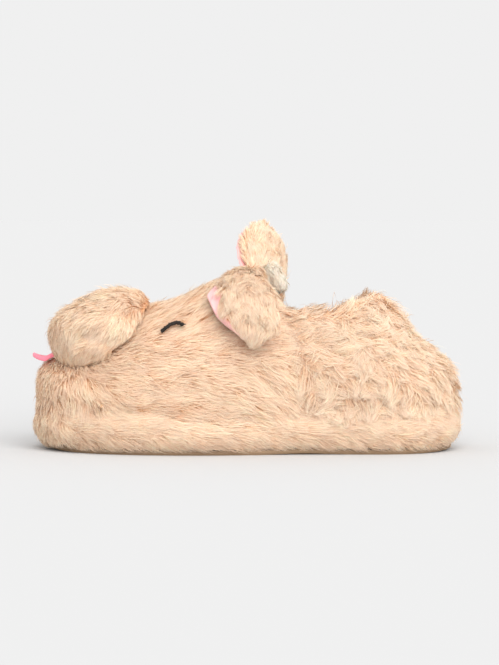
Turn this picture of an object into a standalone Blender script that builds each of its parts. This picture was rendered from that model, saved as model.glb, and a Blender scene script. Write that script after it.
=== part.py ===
"""Plush animal slipper for the left foot, standing empty on its sole.

Metres, +Z up. The toe points to -X, the heel to +X, and the outer side of the foot is at -Y.
The origin is on the floor, below the middle of the slipper's length.
Each solid has the outer form of its fur: a wall is lining, padding and pile together,
and locks of the longer fur are fused to it.
"""

import math
import random
from collections import namedtuple

import bmesh
import bpy
from mathutils import Vector
from mathutils.bvhtree import BVHTree

# Whole slipper
SLIPPER_LENGTH = 0.276
BALL_HALF_WIDTH = 0.055
TOE_SWING = 0.006
UPPER_HEIGHT = 0.0917
GAP = 0.0003
CLEARANCE = 0.0015
SHARP_DEG = 40
SLIVER = 2e-6

# Rounding of the outline, as shares of the length, and how square it is
TOE_ROUND = 0.27
HEEL_ROUND = 0.19
TOE_SQUARE = 2.2
HEEL_SQUARE = 2.3

# Mesh density, as shares of the length between sections, with the close ones at both ends
FINE_ENDS = (0.004, 0.014, 0.034, 0.062)
COARSE_ENDS = (0.004, 0.016, 0.040, 0.075, 0.12)
UPPER_STEP = 0.029
UPPER_AROUND = 18
CAVITY_STEP = 0.045
CAVITY_AROUND = 12
PLATFORM_STEP = 0.033
SOLE_STEP = 0.045
THROAT = (0.500, 0.522, 0.540, 0.553, 0.566, 0.580, 0.595, 0.615)

# Outsole and the fur-wrapped platform above it
OUTSOLE_THICKNESS = 0.003
OUTSOLE_INSET = 0.0065
GROOVE_DEPTH = 0.0011
GROOVE_WIDTH = 0.0026
GROOVE_PITCH = 0.0115
GROOVE_MARGIN = 0.006
TOE_SPRING = 0.0032
HEEL_SPRING = 0.0022
SPRING_LENGTH = 0.036
ARCH_RISE = 0.0008
ARCH_AT = 0.63
ARCH_REACH = 0.085
PLATFORM_TOP = 0.026
PLATFORM_ROUNDING = 0.0045
BAND_SEAM_X = 0.0075
BAND_SEAM_DEPTH = 0.0022
BAND_SEAM_WIDTH = 0.0024

# Insole
INSOLE_THICKNESS = 0.0045
INSOLE_CLEARANCE = 0.0012
HEEL_CUP = 0.0012

# Upper
UPPER_INSET = 0.0012
SIDE_WALL = 0.0125
TOE_WALL = 0.0130
HEEL_WALL = 0.0130
ROOF_WALL = 0.0120
OPENING_FRONT_AT = 0.531
OPENING_BACK_AT = 0.794
OPENING_HALF_WIDTH = 0.0275
OPENING_SQUARE = 2.4
QUARTER_SEAM_TOP = 0.0130
QUARTER_SEAM_FOOT = 0.0270
QUARTER_SEAM_DEPTH = 0.0034
QUARTER_SEAM_WIDTH = 0.0050
CAVITY_FULLNESS = 1.35

# Roll of cream lining round the front of the opening
CUFF_RADIUS = 0.0052
CUFF_RISE = 0.0025
CUFF_REACH_DEG = 46
CUFF_END = 0.55
CUFF_TAPER = 8

# Muzzle, a stuffed dome on the toe
MUZZLE_SETBACK = 0.0455
MUZZLE_RISE = 0.0045
MUZZLE_HALF_LENGTH = 0.0368
MUZZLE_HALF_WIDTH = 0.0415
MUZZLE_HALF_HEIGHT = 0.0250
MUZZLE_TILT_DEG = 16
MUZZLE_SQUARE = 2.25
CHEEK_FOLD_DEPTH = 0.0032
CHEEK_FOLD_WIDTH = 0.0055

# Tongue of felt in the mouth
TONGUE_LENGTH = 0.026
TONGUE_HALF_WIDTH = 0.0075
TONGUE_THICKNESS = 0.0030
TONGUE_REACH = 0.0010
TONGUE_CURL = 0.0028
TONGUE_FREE = 0.35
TONGUE_TIP = 0.20

# Ears
EAR_LENGTH = 0.057
EAR_HALF_WIDTH = 0.0245
EAR_NECK = 0.72
EAR_WIDEST = 0.48
EAR_NECK_CURVE = 1.6
EAR_TIP_CURVE = 2.3
EAR_BLUNTING = 0.01
EAR_FUR_THICKNESS = 0.0070
EAR_EDGE_THICKNESS = 0.0022
EAR_LINING_THICKNESS = 0.0018
EAR_LINING_MARGIN = 0.0045
EAR_CUP = 0.0042
EAR_SEAT_DEPTH = 0.004

# Locks of fur
LOCK_LENGTH = 0.0797 * SLIPPER_LENGTH
LOCK_WIDTH = 0.0406 * SLIPPER_LENGTH
LOCK_LIFT = 0.0145 * SLIPPER_LENGTH
LOCK_SINK = 0.0012
LOCK_WIDEST = 0.42
LOCK_RIDGE = 0.8
LOCK_VARIATION = 0.15
LOCK_SWING = 0.35
LOCK_SEED = 7
MUZZLE_LOCK = 0.70
BAND_LOCK = 0.72
EAR_LOCK = 0.72

# Lie of the fur: slopes against the run towards the heel
HEAD_LIFT = 0.25
HEAD_DROOP = 0.75
QUARTER_RUN = 0.4
QUARTER_SPREAD = 0.2
QUARTER_LOW_RUN = 0.9
BAND_TURN_IN = 0.4
BAND_DROOP = 0.15
MUZZLE_FALL = 1.6
MUZZLE_BACK = 0.03

FUR = ("fur", (0.90, 0.66, 0.46), 0.95)
BAND_FUR = ("band_fur", (0.86, 0.62, 0.43), 0.95)
CREAM = ("cream_lining", (0.97, 0.87, 0.78), 0.95)
PINK = ("pink_lining", (0.96, 0.55, 0.52), 0.85)
TONGUE_PINK = ("pink_felt", (0.95, 0.30, 0.38), 0.90)
RUBBER = ("outsole_rubber", (0.40, 0.33, 0.27), 0.80)

# Sections from toe to heel. at is a share of the length, width a share of the ball's half width
# before the ends are rounded, swing a share of the toe's swing, top a share of the upper's height
# above the platform, and square how full the arch is.
Section = namedtuple("Section", "at width swing top square")
SECTIONS = (
    Section(0.000, 0.90, 1.00, 0.20, 2.0),
    Section(0.012, 0.91, 1.00, 0.28, 2.0),
    Section(0.035, 0.92, 0.98, 0.345, 2.0),
    Section(0.080, 0.94, 0.90, 0.395, 2.0),
    Section(0.135, 0.96, 0.75, 0.46, 2.0),
    Section(0.190, 0.98, 0.55, 0.56, 2.1),
    Section(0.240, 0.99, 0.35, 0.69, 2.15),
    Section(0.285, 1.00, 0.15, 0.755, 2.2),
    Section(0.330, 1.00, 0.00, 0.765, 2.2),
    Section(0.365, 0.99, -0.10, 0.81, 2.2),
    Section(0.400, 0.98, -0.15, 0.87, 2.2),
    Section(0.460, 0.95, -0.20, 0.94, 2.2),
    Section(0.520, 0.92, -0.20, 1.00, 2.2),
    Section(0.545, 0.91, -0.15, 0.98, 2.3),
    Section(0.565, 0.90, -0.12, 0.915, 2.4),
    Section(0.583, 0.89, -0.10, 0.835, 2.6),
    Section(0.605, 0.88, -0.05, 0.79, 2.8),
    Section(0.640, 0.87, 0.00, 0.775, 2.8),
    Section(0.690, 0.86, 0.00, 0.785, 2.8),
    Section(0.735, 0.86, 0.00, 0.82, 2.7),
    Section(0.785, 0.86, 0.00, 0.83, 2.5),
    Section(0.825, 0.86, 0.00, 0.785, 2.4),
    Section(0.860, 0.86, 0.00, 0.65, 2.35),
    Section(0.890, 0.86, 0.00, 0.53, 2.3),
    Section(0.925, 0.85, 0.00, 0.435, 2.2),
    Section(0.965, 0.85, 0.00, 0.35, 2.1),
    Section(0.988, 0.84, 0.00, 0.26, 2.0),
    Section(1.000, 0.84, 0.00, 0.17, 2.0),
)

# Levels of a slab's side. at is a share of its height, inset a share of its rounding.
Level = namedtuple("Level", "at inset")
PLATFORM_LEVELS = (Level(0.0, 1.0), Level(0.14, 0.35), Level(0.45, 0.0), Level(0.80, 0.12), Level(1.0, 0.85))
OUTSOLE_LEVELS = (Level(0.0, 0.30), Level(0.45, 0.0), Level(1.0, 0.0))
INSOLE_LEVELS = (Level(0.0, 0.0), Level(0.6, 0.0), Level(1.0, 0.30))

# Groups of grooves. at is the share of the length where a group starts.
Grooves = namedtuple("Grooves", "at count")
GROOVES = (Grooves(0.20, 7), Grooves(0.765, 4))

# Fields of locks. from_at to to_at are shares along the piece, from_turn to to_turn shares around it,
# and jitter is the most that a lock strays, as a share of their spacing.
Field = namedtuple("Field", "columns rows from_at to_at from_turn to_turn jitter")
UPPER_FIELD = Field(15, 15, 0.02, 0.975, 0.05, 0.95, 0.16)
BAND_FIELD = Field(15, 2, 0.035, 0.935, 0.68, 0.36, 0.12)

# Rings of locks on the muzzle. level is a share of the way from its top to its underside.
Ring = namedtuple("Ring", "level count")
MUZZLE_RINGS = (Ring(0.20, 7), Ring(0.33, 11), Ring(0.46, 12))

# Locks on each ear, as shares along it and across it.
EAR_LOCKS_ALONG = (0.28, 0.60)
EAR_LOCKS_ACROSS = (-0.62, 0.0, 0.62)

# Ears. behind is how far the root lies behind the front of the foot opening, across its place as
# a share of the half width, lean and front the compass directions in degrees, from -X towards -Y,
# of the ear's lean and of its front edge, rise_root and rise_tip its angles above the horizon,
# and hand is -1 where the pink side faces the toe.
Ear = namedtuple("Ear", "name behind across lean front rise_root rise_tip hand")
EARS = (
    Ear("outer", -0.0065, -0.44, 84, -8, -4, -102, 1),
    Ear("inner", 0.0060, 0.64, -88, 60, 40, 56, -1),
)


def table_value(rows, at, column):
    """A smooth value of one column between the rows of a table."""
    for low, high in zip(rows, rows[1:]):
        if at <= high.at:
            break
    index = rows.index(low)
    before = rows[max(index - 1, 0)]
    after = rows[min(index + 2, len(rows) - 1)]
    a, b = getattr(low, column), getattr(high, column)
    span = high.at - low.at
    slope_a = (b - getattr(before, column)) / (high.at - before.at) * span
    slope_b = (getattr(after, column) - a) / (after.at - low.at) * span
    limit = 3 * (b - a)
    slope_a = max(min(slope_a, limit), 0) if b > a else min(max(slope_a, limit), 0)
    slope_b = max(min(slope_b, limit), 0) if b > a else min(max(slope_b, limit), 0)
    t = min(max((at - low.at) / span, 0), 1)
    return (
        a * (1 - t) ** 2 * (1 + 2 * t)
        + b * t * t * (3 - 2 * t)
        + slope_a * t * (1 - t) ** 2
        - slope_b * t * t * (1 - t)
    )


def end_round(at):
    """The share of the width that is left where the outline rounds off at toe and heel."""
    toe = max(0, 1 - at / TOE_ROUND)
    heel = max(0, 1 - (1 - at) / HEEL_ROUND)
    toe_part = (1 - min(toe, 1) ** TOE_SQUARE) ** (1 / TOE_SQUARE)
    heel_part = (1 - min(heel, 1) ** HEEL_SQUARE) ** (1 / HEEL_SQUARE)
    return toe_part * heel_part


def outline(at, side_inset, toe_inset, heel_inset):
    """x, the middle's y and the half width of the slipper's outline, drawn in by these insets."""
    toe_x = toe_inset - SLIPPER_LENGTH / 2
    heel_x = SLIPPER_LENGTH / 2 - heel_inset
    x = toe_x + (heel_x - toe_x) * at
    half = (BALL_HALF_WIDTH - side_inset) * table_value(SECTIONS, at, "width") * end_round(at)
    return x, TOE_SWING * table_value(SECTIONS, at, "swing"), half


def share_at(x):
    """The share of the slipper's length at x."""
    return min(max(x / SLIPPER_LENGTH + 0.5, 0), 1)


def stations(step, ends):
    """Shares of the length, close together where the ends round off."""
    count = round((1 - 2 * ends[-1]) / step)
    middle = [ends[-1] + (1 - 2 * ends[-1]) * i / count for i in range(1, count)]
    return [*ends, *middle, *(1 - e for e in reversed(ends))]


def place_at(share):
    """x at a share of the slipper's length."""
    return (share - 0.5) * SLIPPER_LENGTH


def opening_ends():
    """x at the front and at the back of the foot opening."""
    return place_at(OPENING_FRONT_AT), place_at(OPENING_BACK_AT)


def spring(x):
    """How far the sole's underside is off the floor at x: toe spring, arch and heel spring."""
    toe = max(0, SPRING_LENGTH - (x + SLIPPER_LENGTH / 2)) / SPRING_LENGTH
    heel = max(0, SPRING_LENGTH - (SLIPPER_LENGTH / 2 - x)) / SPRING_LENGTH
    arch = max(0, 1 - ((share_at(x) - ARCH_AT) / ARCH_REACH) ** 2)
    return TOE_SPRING * toe**2 + HEEL_SPRING * heel**2 + ARCH_RISE * arch


def between(low, high, share):
    """The value at a share of the way from low to high."""
    return low + (high - low) * share


def power_wave(value, square):
    """A sine or cosine drawn out to the superellipse of this squareness."""
    return math.copysign(abs(value) ** (2 / square), value)


def new_object(name, verts, faces, look=None):
    """A closed mesh object with its faces turned outwards."""
    mesh = bpy.data.meshes.new(name)
    mesh.from_pydata([tuple(v) for v in verts], [], faces)
    obj = bpy.data.objects.new(name, mesh)
    bpy.context.scene.collection.objects.link(obj)
    tidy(mesh)
    if look:
        mesh.materials.append(material(*look))
    return obj


def tidy(mesh):
    """Triangulates a mesh and turns its faces outwards."""
    work = bmesh.new()
    work.from_mesh(mesh)
    bmesh.ops.triangulate(work, faces=work.faces[:])
    bmesh.ops.recalc_face_normals(work, faces=work.faces[:])
    work.to_mesh(mesh)
    work.free()


def material(name, colour, roughness):
    """A Principled material, made once."""
    found = bpy.data.materials.get(name)
    if found:
        return found
    made = bpy.data.materials.new(name)
    made.use_nodes = True
    shader = made.node_tree.nodes["Principled BSDF"]
    shader.inputs["Base Color"].default_value = (*colour, 1)
    shader.inputs["Roughness"].default_value = roughness
    return made


def combine(obj, other, operation):
    """Joins, cuts or intersects obj with other, which is then removed."""
    modifier = obj.modifiers.new(operation, "BOOLEAN")
    modifier.operation = operation
    modifier.solver = "EXACT"
    modifier.use_self = operation == "UNION"
    modifier.object = other
    graph = bpy.context.evaluated_depsgraph_get()
    made = bpy.data.meshes.new_from_object(obj.evaluated_get(graph))
    obj.modifiers.clear()
    obj.data = made
    bpy.data.objects.remove(other)
    work = bmesh.new()
    work.from_mesh(made)
    bmesh.ops.dissolve_degenerate(work, dist=SLIVER, edges=work.edges[:])
    bmesh.ops.triangulate(work, faces=work.faces[:])
    work.to_mesh(made)
    work.free()
    return obj


def slab(name, levels, height_at, rounding, insets, shares, look, half_at=lambda x, half: half):
    """A closed slab with the slipper's outline. height_at(x, share) gives z at a share of its height."""
    verts, faces = [], []
    count = len(shares)
    for level in levels:
        grow = level.inset * rounding
        side, toe, heel = (inset + grow for inset in insets)
        rows = [outline(at, side, toe, heel) for at in shares]
        verts += [(x, y - half_at(x, half), height_at(x, level.at)) for x, y, half in rows]
        verts += [(x, y + half_at(x, half), height_at(x, level.at)) for x, y, half in rows]
    ring = 2 * count
    for i in range(count - 1):
        for base, turn in ((0, 1), (ring * (len(levels) - 1), -1)):
            quad = [base + i, base + i + 1, base + count + i + 1, base + count + i]
            faces.append(quad[::turn])
    loop = [*range(count), *reversed(range(count, ring))]
    for k in range(len(levels) - 1):
        for a, b in zip(loop, loop[1:] + loop[:1]):
            faces.append([k * ring + a, k * ring + b, (k + 1) * ring + b, (k + 1) * ring + a])
    return new_object(name, verts, faces, look)


def seam_inset(x, half):
    """The half width at x with the groove where the ends of the fur band are sewn together."""
    if abs(x - BAND_SEAM_X) > 2 * BAND_SEAM_WIDTH:
        return half
    return half - BAND_SEAM_DEPTH * math.exp(-(((x - BAND_SEAM_X) / BAND_SEAM_WIDTH) ** 2))


def arch_point(at, turn, side_inset, toe_inset, heel_inset, roof_inset):
    """A point of the upper's surface: at runs from toe to heel, turn from the outer to the inner side."""
    x, y, half = outline(at, side_inset, toe_inset, heel_inset)
    share = share_at(x)
    floor = PLATFORM_TOP + GAP
    shrink = min(1, end_round(at) * CAVITY_FULLNESS) if roof_inset > 0 else 1
    rise = max(UPPER_HEIGHT * table_value(SECTIONS, share, "top") - roof_inset, ROOF_WALL) * shrink
    square = table_value(SECTIONS, share, "square")
    angle = math.pi * turn
    across = -power_wave(math.cos(angle), square)
    up = power_wave(max(math.sin(angle), 0), square)
    z = floor + rise * up
    pinch = 0 if roof_inset > 0 else quarter_seam(x, z) * (1 - up / 2)
    return Vector((x, y + (half - pinch) * across, z))


def quarter_seam(x, z):
    """Depth of the soft trough where the head is sewn to the quarters."""
    share = (z - PLATFORM_TOP) / UPPER_HEIGHT
    seam_x = place_at(OPENING_FRONT_AT) + between(QUARTER_SEAM_FOOT, QUARTER_SEAM_TOP, share)
    return QUARTER_SEAM_DEPTH * math.exp(-(((x - seam_x) / QUARTER_SEAM_WIDTH) ** 2))


def dome(name, shares, around, insets, roof_inset, skirt, look=None):
    """The closed body under an arch surface, reaching skirt below its foot."""
    verts, faces = [], []
    for at in shares:
        ring = [arch_point(at, k / around, *insets, roof_inset) for k in range(around + 1)]
        drop = Vector((0, 0, skirt))
        verts += [ring[0] - drop, *ring, ring[-1] - drop] if skirt else ring
    size = len(verts) // len(shares)
    for i in range(len(shares) - 1):
        for k in range(size):
            after = (k + 1) % size
            faces.append([i * size + k, i * size + after, (i + 1) * size + after, (i + 1) * size + k])
    faces.append(list(range(size)))
    faces.append([(len(shares) - 1) * size + k for k in reversed(range(size))])
    return new_object(name, verts, faces, look)


def outer_dome(name, grow=0.0, look=None):
    """The upper's outer form as a filled body, or grown by a clearance to cut what sits on it."""
    shares = [at for at in stations(UPPER_STEP, FINE_ENDS) if not THROAT[0] < at < THROAT[-1]]
    insets = (UPPER_INSET - grow,) * 3
    return dome(name, sorted([*shares, *THROAT]), UPPER_AROUND, insets, -grow, GAP if grow else 0.0, look)


def opening_point(angle, draw_in=0.0):
    """A point of the foot opening's outline seen from above, from the front at angle 0."""
    front, back = opening_ends()
    x = (front + back) / 2 - ((back - front) / 2 - draw_in) * power_wave(math.cos(angle), OPENING_SQUARE)
    return x, (OPENING_HALF_WIDTH - draw_in) * power_wave(math.sin(angle), OPENING_SQUARE)


def opening_cutter():
    """An upright prism through the roof at the foot opening."""
    sides = 36
    loop = [opening_point(2 * math.pi * i / sides) for i in range(sides)]
    low = PLATFORM_TOP + 2 * INSOLE_THICKNESS
    high = PLATFORM_TOP + UPPER_HEIGHT + ROOF_WALL
    verts = [(x, y, low) for x, y in loop] + [(x, y, high) for x, y in loop]
    faces = [list(range(sides)), [sides + i for i in reversed(range(sides))]]
    faces += [[i, (i + 1) % sides, sides + (i + 1) % sides, sides + i] for i in range(sides)]
    return new_object("opening_cutter", verts, faces)


def surface_height(x, y):
    """Height of the upper's outer surface above x, y."""
    share = share_at(x)
    _, middle, half = outline(share, UPPER_INSET, UPPER_INSET, UPPER_INSET)
    square = table_value(SECTIONS, share, "square")
    across = min(abs(y - middle) / max(half, GAP), 1)
    rise = UPPER_HEIGHT * table_value(SECTIONS, share, "top")
    return PLATFORM_TOP + GAP + rise * (1 - across**square) ** (1 / square)


def surface_tree(obj):
    """A search tree over an object's triangles."""
    mesh = obj.data
    return BVHTree.FromPolygons([v.co for v in mesh.vertices], [list(p.vertices) for p in mesh.polygons])


def lock(tree, root, heading, length, width, lift):
    """One pointed lock of fur that lies along a surface, with its tip in the air."""
    seat, normal, _, _ = tree.find_nearest(root)
    along = (heading - normal * heading.dot(normal)).normalized()
    side = along.cross(normal)
    middle, middle_normal, _, _ = tree.find_nearest(seat + along * length * LOCK_WIDEST)
    end, end_normal, _, _ = tree.find_nearest(seat + along * length)
    verts = [
        seat - normal * LOCK_SINK,
        middle - side * width / 2 - middle_normal * LOCK_SINK,
        middle + side * width / 2 - middle_normal * LOCK_SINK,
        middle + middle_normal * lift * LOCK_RIDGE,
        end + end_normal * lift,
    ]
    return verts, [[0, 1, 3], [0, 3, 2], [0, 2, 1], [1, 4, 3], [3, 4, 2], [2, 4, 1]]


def fuse_locks(obj, roots, heading_at, clear, size=1.0):
    """Fuses a lock to obj at each root, laid the way that heading_at says, if all of it is clear."""
    tree = surface_tree(obj)
    draw = random.Random(LOCK_SEED)
    verts, faces = [], []
    for root in roots:
        stretch = size * draw.uniform(1 - LOCK_VARIATION, 1 + LOCK_VARIATION)
        heading = heading_at(root)
        upward = heading.cross(Vector((0, 0, 1))).cross(heading)
        heading = heading + upward * draw.uniform(-LOCK_SWING, LOCK_SWING)
        lengths = (LOCK_LENGTH * stretch, LOCK_WIDTH * stretch, LOCK_LIFT * size)
        made, sides = lock(tree, root, heading, *lengths)
        if all(clear(point) for point in made):
            faces += [[len(verts) + i for i in side] for side in sides]
            verts += made
    return combine(obj, new_object("locks", verts, faces), "UNION")


def head_heading(point):
    """The fur of the head lies back from the muzzle and droops down its sides."""
    low = max(0, 1 - (point.z - PLATFORM_TOP) / UPPER_HEIGHT)
    spread = max(0, 1 - share_at(point.x) / (TOE_ROUND / 2))
    rise = HEAD_LIFT - HEAD_DROOP * low * (1 - spread)
    return Vector((1, math.copysign(spread, point.y), rise)).normalized()


def quarter_heading(point):
    """The fur of the quarters hangs down, and lies back round the heel."""
    low = max(0, 1 - (point.z - PLATFORM_TOP) / (UPPER_HEIGHT / 2))
    run = QUARTER_RUN + QUARTER_LOW_RUN * low
    aside = math.copysign(QUARTER_SPREAD + low, point.y)
    return Vector((run, aside, HEAD_DROOP * low - 1)).normalized()


def upper_heading(point):
    """The lie of the fur over the whole upper."""
    if point.x > place_at(OPENING_FRONT_AT) + QUARTER_SEAM_FOOT:
        return quarter_heading(point)
    return head_heading(point)


def band_heading(point):
    """The fur of the band lies along the side towards the heel."""
    return Vector((1, -BAND_TURN_IN * point.y / BALL_HALF_WIDTH, -BAND_DROOP)).normalized()


def muzzle_heading(point):
    """The fur of the muzzle falls from its top to both sides."""
    return Vector((point.x - muzzle_centre().x, MUZZLE_FALL * point.y, -MUZZLE_BACK)).normalized()


def muzzle_centre():
    """The muzzle's middle, set back from the tip of the toe and just above its surface."""
    x = MUZZLE_SETBACK - SLIPPER_LENGTH / 2
    return Vector((x, 0, surface_height(x, 0) + MUZZLE_RISE))


def in_muzzle(point, grow):
    """Whether a point lies inside the muzzle, grown by a margin."""
    along, up = muzzle_axes(point)
    shares = (
        along / (MUZZLE_HALF_LENGTH + grow),
        point.y / (MUZZLE_HALF_WIDTH + grow),
        up / (MUZZLE_HALF_HEIGHT + grow),
    )
    return sum(abs(share) ** MUZZLE_SQUARE for share in shares) < 1


def muzzle_axes(point):
    """Distances from the muzzle's middle along its own long axis and its own height."""
    tilt = math.radians(MUZZLE_TILT_DEG)
    dx, _, dz = point - muzzle_centre()
    return dx * math.cos(tilt) + dz * math.sin(tilt), dz * math.cos(tilt) - dx * math.sin(tilt)


def under_ear(point):
    """Whether an ear's root or its drooping leaf covers this place of the head."""
    for ear in EARS:
        root = ear_root(ear)
        tip = ear_frame(ear, 1)[0]
        drooping = tip.z < root.z and point.z > tip.z and point.y / root.y > EAR_WIDEST
        beside = abs(point.x - root.x) < EAR_HALF_WIDTH + CLEARANCE
        if (point - root).length < EAR_HALF_WIDTH or (drooping and beside):
            return True
    return False


def near_opening(point, margin):
    """Whether a point is at or inside the rim of the foot opening."""
    front, back = opening_ends()
    along = abs(point.x - (front + back) / 2) / ((back - front) / 2 + margin)
    across = abs(point.y) / (OPENING_HALF_WIDTH + margin)
    return point.z > PLATFORM_TOP + ROOF_WALL and along**OPENING_SQUARE + across**OPENING_SQUARE < 1


def upper_clear(point):
    """Whether a lock may reach this place: clear of the platform, face, ears and foot opening."""
    toe_x = point.x + SLIPPER_LENGTH / 2
    on_tongue = abs(point.y) < TONGUE_HALF_WIDTH + CLEARANCE and toe_x < TONGUE_LENGTH
    blocked = in_muzzle(point, CLEARANCE) or under_ear(point) or near_opening(point, CLEARANCE)
    return point.z > PLATFORM_TOP + CLEARANCE and not blocked and not on_tongue


def field_shares(field):
    """Staggered and slightly strayed places in a field of locks, as shares along and around."""
    draw = random.Random(LOCK_SEED)
    for row in range(field.rows):
        for column in range(field.columns):
            stray = draw.uniform(-field.jitter, field.jitter)
            at = between(field.from_at, field.to_at, (column + (row % 2) / 2 + stray) / field.columns)
            stray = draw.uniform(-field.jitter, field.jitter)
            turn = between(field.from_turn, field.to_turn, (row + stray) / (field.rows - 1))
            yield min(at, field.to_at), turn


def make_upper():
    """Head, toe and quarters as one hollow shell, open underneath and at the foot opening."""
    upper = outer_dome("upper", look=FUR)
    insets = (SIDE_WALL + UPPER_INSET, TOE_WALL + UPPER_INSET, HEEL_WALL + UPPER_INSET)
    shares = stations(CAVITY_STEP, FINE_ENDS[::2])
    cavity = dome("cavity", shares, CAVITY_AROUND, insets, ROOF_WALL, INSOLE_THICKNESS)
    combine(upper, cavity, "DIFFERENCE")
    combine(upper, opening_cutter(), "DIFFERENCE")
    roots = [arch_point(at, turn, *(UPPER_INSET,) * 3, 0) for at, turn in field_shares(UPPER_FIELD)]
    return fuse_locks(upper, roots, upper_heading, upper_clear)


def platform_height(x, share):
    """Heights of the platform: its underside follows the outsole, its top is flat."""
    low = spring(x) + OUTSOLE_THICKNESS + GAP
    return low + (PLATFORM_TOP - low) * share


def band_clear(point):
    """Whether a lock of the band may reach this place: below the upper and off the sewn seam."""
    level = PLATFORM_ROUNDING / 2 < point.z < PLATFORM_TOP - PLATFORM_ROUNDING / 4
    return level and abs(point.x - BAND_SEAM_X) > 2 * BAND_SEAM_WIDTH


def make_platform():
    """The foam platform wrapped in a band of fur, with its sewn seam on both sides."""
    seam = share_at(BAND_SEAM_X)
    step = BAND_SEAM_WIDTH / SLIPPER_LENGTH
    shares = [at for at in stations(PLATFORM_STEP, FINE_ENDS) if abs(at - seam) > 2.5 * step]
    shares = sorted([*shares, *(seam + step * i for i in (-2, -1, 0, 1, 2))])
    insets = (0, 0, 0)
    platform = slab(
        "midsole", PLATFORM_LEVELS, platform_height, PLATFORM_ROUNDING, insets, shares, BAND_FUR, seam_inset
    )
    roots = []
    for at, level in field_shares(BAND_FIELD):
        x, y, half = outline(at, *insets)
        roots += [Vector((x, y + side * half, between(0, PLATFORM_TOP, level))) for side in (-1, 1)]
    return fuse_locks(platform, roots, band_heading, band_clear, BAND_LOCK)


def outsole_height(x, share):
    """Heights of the outsole, which keeps its thickness over toe spring, arch and heel."""
    return spring(x) + OUTSOLE_THICKNESS * share


def make_outsole():
    """A thin sheet of rubber under the platform, with grooves across its forefoot and heel."""
    shares = stations(SOLE_STEP, COARSE_ENDS)
    insets = (OUTSOLE_INSET,) * 3
    outsole = slab("outsole", OUTSOLE_LEVELS, outsole_height, OUTSOLE_THICKNESS, insets, shares, RUBBER)
    for group in GROOVES:
        for i in range(group.count):
            combine(outsole, groove(place_at(group.at) + i * GROOVE_PITCH), "DIFFERENCE")
    return outsole


def groove(x):
    """A cutter for one groove, which stops short of the outsole's edge."""
    _, middle, half = outline(share_at(x), *(OUTSOLE_INSET,) * 3)
    reach = half - GROOVE_MARGIN
    corners = [(-1, -1), (1, -1), (1, 1), (-1, 1)]
    verts = []
    for z in (-GROOVE_DEPTH, GROOVE_DEPTH):
        verts += [(x + a * GROOVE_WIDTH / 2, middle + b * reach, z) for a, b in corners]
    faces = [[0, 1, 2, 3], [4, 5, 6, 7]] + [[i, (i + 1) % 4, 4 + (i + 1) % 4, 4 + i] for i in range(4)]
    return new_object("groove", verts, faces)


def insole_height(x, share):
    """Heights of the insole, a little thicker round the rim of the heel."""
    cup = HEEL_CUP * max(0, (share_at(x) - OPENING_BACK_AT) / (1 - OPENING_BACK_AT)) ** 2
    return PLATFORM_TOP + GAP + (INSOLE_THICKNESS + cup) * share


def make_insole():
    """The padded footbed inside the upper."""
    shares = stations(SOLE_STEP, COARSE_ENDS)
    side = SIDE_WALL + UPPER_INSET + INSOLE_CLEARANCE
    toe = TOE_WALL + UPPER_INSET + 2 * INSOLE_CLEARANCE
    heel = HEEL_WALL + UPPER_INSET + 2 * INSOLE_CLEARANCE
    return slab("insole", INSOLE_LEVELS, insole_height, INSOLE_THICKNESS, (side, toe, heel), shares, CREAM)


def cuff_body(name, grow=0.0, look=None):
    """The roll of cream lining that shows round the front of the foot opening."""
    rings, sides = 16, 8
    reach = math.radians(CUFF_REACH_DEG)
    path = []
    for i in range(rings + 1):
        angle = reach * (2 * i / rings - 1)
        x, y = opening_point(angle, CUFF_RADIUS + GAP)
        rim_x, rim_y = opening_point(angle)
        path.append(Vector((x, y, surface_height(rim_x, rim_y) - CUFF_RADIUS + CUFF_RISE)))
    verts, faces = [], []
    for i, point in enumerate(path):
        tangent = (path[min(i + 1, rings)] - path[max(i - 1, 0)]).normalized()
        flat = Vector((-tangent.y, tangent.x, 0)).normalized()
        up = flat.cross(tangent)
        radius = CUFF_RADIUS * between(1, CUFF_END, abs(2 * i / rings - 1) ** CUFF_TAPER) + grow
        for k in range(sides):
            turn = 2 * math.pi * k / sides
            verts.append(point + (flat * math.cos(turn) + up * math.sin(turn)) * radius)
    for i in range(rings):
        for k in range(sides):
            after = (k + 1) % sides
            faces.append([i * sides + k, i * sides + after, (i + 1) * sides + after, (i + 1) * sides + k])
    faces.append(list(range(sides)))
    faces.append([rings * sides + k for k in reversed(range(sides))])
    return new_object(name, verts, faces, look)


def muzzle_point(turn, rise, grow=0.0):
    """A point of the muzzle's surface, turn round its long axis's end and rise from pole to pole."""
    level = power_wave(math.sin(rise), MUZZLE_SQUARE)
    along = (MUZZLE_HALF_LENGTH + grow) * power_wave(math.cos(turn), MUZZLE_SQUARE) * level
    across = (MUZZLE_HALF_WIDTH + grow) * power_wave(math.sin(turn), MUZZLE_SQUARE) * level
    up = (MUZZLE_HALF_HEIGHT + grow) * power_wave(math.cos(rise), MUZZLE_SQUARE)
    tilt = math.radians(MUZZLE_TILT_DEG)
    middle = muzzle_centre()
    x = middle.x + along * math.cos(tilt) - up * math.sin(tilt)
    z = middle.z + along * math.sin(tilt) + up * math.cos(tilt)
    outward = Vector((along, across, up)).normalized()
    fold = CHEEK_FOLD_DEPTH * math.exp(-((up / CHEEK_FOLD_WIDTH) ** 2)) * abs(outward.y)
    return Vector((x, across - math.copysign(fold, across), z))


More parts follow.
